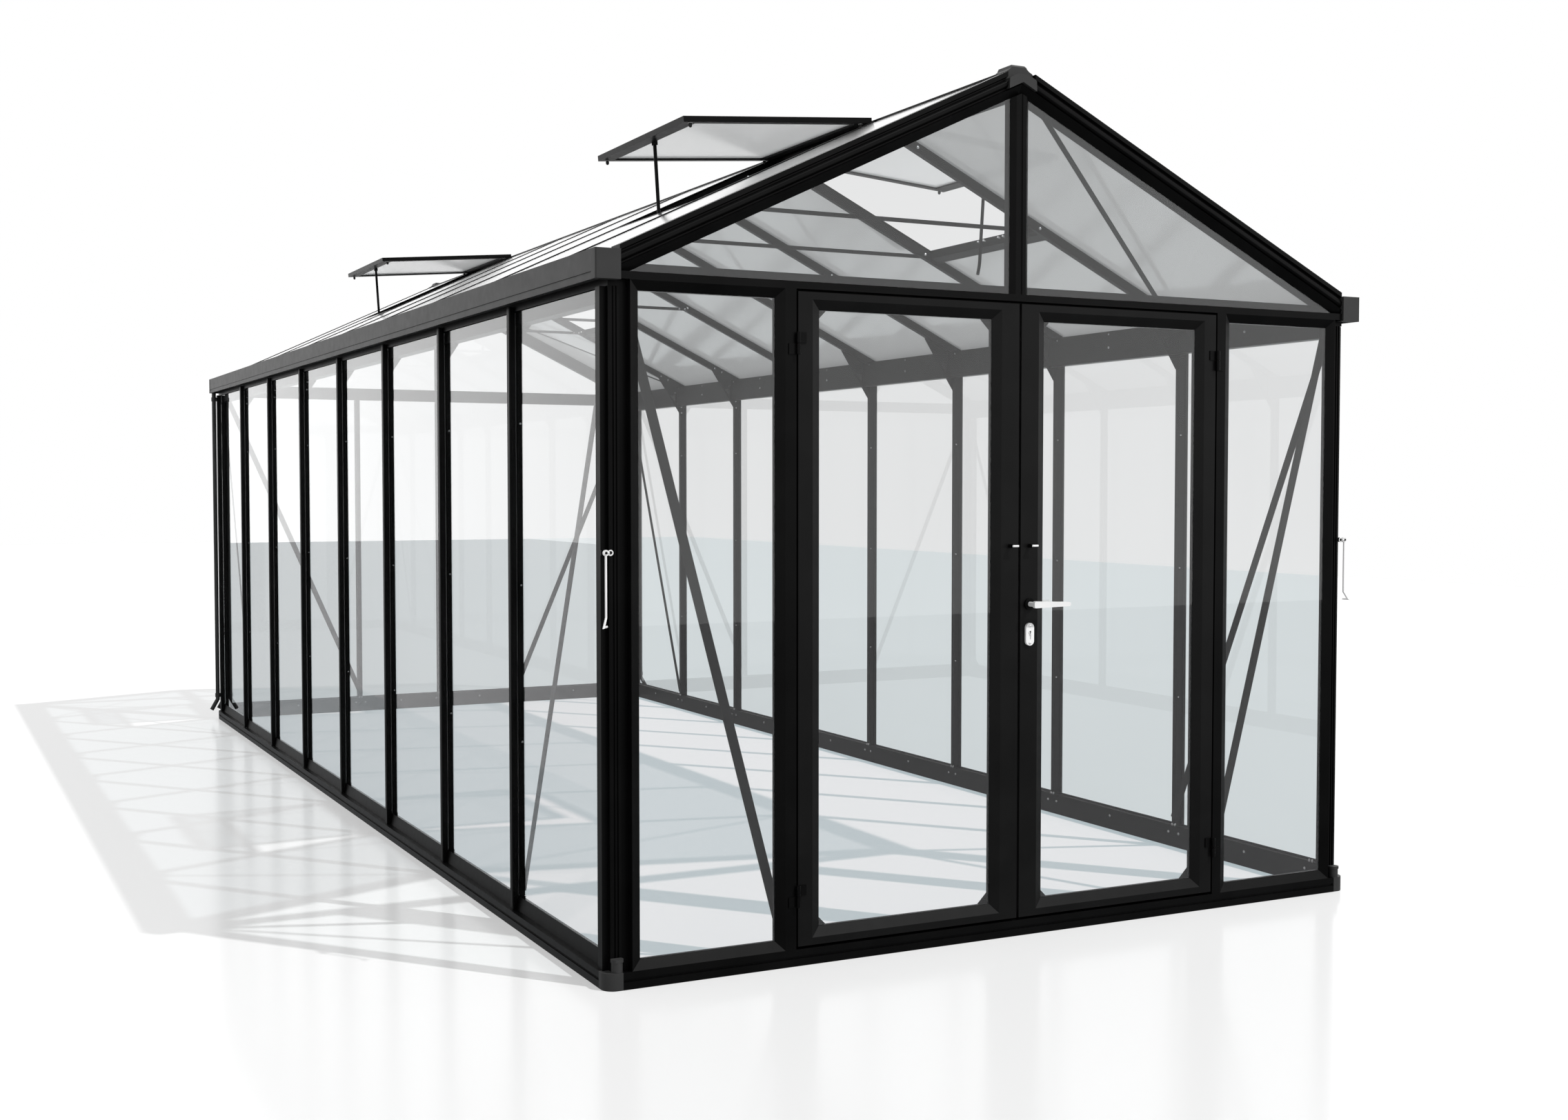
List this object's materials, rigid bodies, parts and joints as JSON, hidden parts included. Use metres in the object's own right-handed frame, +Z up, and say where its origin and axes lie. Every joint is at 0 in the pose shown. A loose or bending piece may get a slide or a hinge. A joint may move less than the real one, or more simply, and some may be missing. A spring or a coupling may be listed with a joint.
{
  "type": "glass greenhouse",
  "caption": "Gabled glass greenhouse on a black aluminium frame, with hinged double doors, a translucent roof, propped roof vents, gutters and door hooks.",
  "frame": {"origin": "on the ground, under the centre of the base", "axes": "+Z up, +Y from the door gable to the back gable (the ridge's direction), +X to the right when facing the doors"},
  "size_m": [2.6708, 6.1648, 2.5245],
  "materials": {
    "black_frame": "satin black powder coat on aluminium",
    "black_plastic": "fine moulded grain",
    "glass": "clear toughened glass",
    "polycarbonate": "translucent twin-wall sheet",
    "white_metal": "smooth white coat"
  },
  "bodies": {
    "house": {"back_bars": "black_frame", "back_glass": "glass", "base_corners": "black_plastic", "base_rail_back": "black_frame", "base_rail_front": "black_frame", "base_rail_left": "black_frame", "base_rail_right": "black_frame", "collar_ties": "black_frame", "corner_posts": "black_frame", "door_jambs": "black_frame", "downpipes": "black_plastic", "eave_beams": "black_frame", "front_glass": "glass", "front_pane_frames": "black_frame", "gutter_end_caps": "black_plastic", "gutters": "black_frame", "hinges_on_jambs": "black_frame", "hook_brackets": "black_frame", "king_post_front": "black_frame", "knee_brackets": "black_frame", "pipe_sockets": "black_plastic", "rafters_left": "black_frame", "rafters_right": "black_frame", "ridge_beam": "black_frame", "ridge_end_caps": "black_plastic", "roof_braces": "black_frame", "roof_panels_left": "polycarbonate", "roof_panels_right": "polycarbonate", "transom_back": "black_frame", "transom_front": "black_frame", "vent_frames": "black_frame", "vent_panels": "polycarbonate", "vent_sills": "black_frame", "vent_stays": "black_frame", "verge_rafters_back": "black_frame", "verge_rafters_front": "black_frame", "wall_bars_left": "black_frame", "wall_bars_right": "black_frame", "wall_braces": "black_frame", "wall_glass_left": "glass", "wall_glass_right": "glass"},
    "door_left": {"door_left_frame": "black_frame", "door_left_glass": "glass", "door_left_gussets": "black_frame", "door_left_hinges": "black_frame", "door_left_knob": "white_metal"},
    "door_right": {"door_right_frame": "black_frame", "door_right_glass": "glass", "door_right_gussets": "black_frame", "door_right_hinges": "black_frame", "door_right_knob": "white_metal", "handle_roses": "white_metal", "key_plate": "white_metal"},
    "lever": {"door_handle": "white_metal"},
    "hook_left_rod": {"hook_left": "white_metal"},
    "hook_right_rod": {"hook_right": "white_metal"}
  },
  "joints": [
    {"name": "door_left_hinge", "type": "hinge", "parent": "house", "child": "door_left", "pos_m": [-0.72525, -3.058, 0.95], "axis": [0, 0, -1], "range_deg": [0, 180]},
    {"name": "door_right_hinge", "type": "hinge", "parent": "house", "child": "door_right", "pos_m": [0.72525, -3.058, 0.95], "axis": [0, 0, 1], "range_deg": [0, 180]},
    {"name": "lever_turn", "type": "hinge", "parent": "door_right", "child": "lever", "pos_m": [0.034, -3.06, 0.972], "axis": [0, 1, 0], "range_deg": [0, 45], "stiffness_Nm_per_rad": 0.8, "springref_deg": -22.92},
    {"name": "hook_left_swing", "type": "hinge", "parent": "house", "child": "hook_left_rod", "pos_m": [-1.274, -3.036, 1.142], "axis": [0, 1, 0], "range_deg": [0, 95]},
    {"name": "hook_right_swing", "type": "hinge", "parent": "house", "child": "hook_right_rod", "pos_m": [1.274, -3.036, 1.142], "axis": [0, -1, 0], "range_deg": [0, 95]}
  ]
}
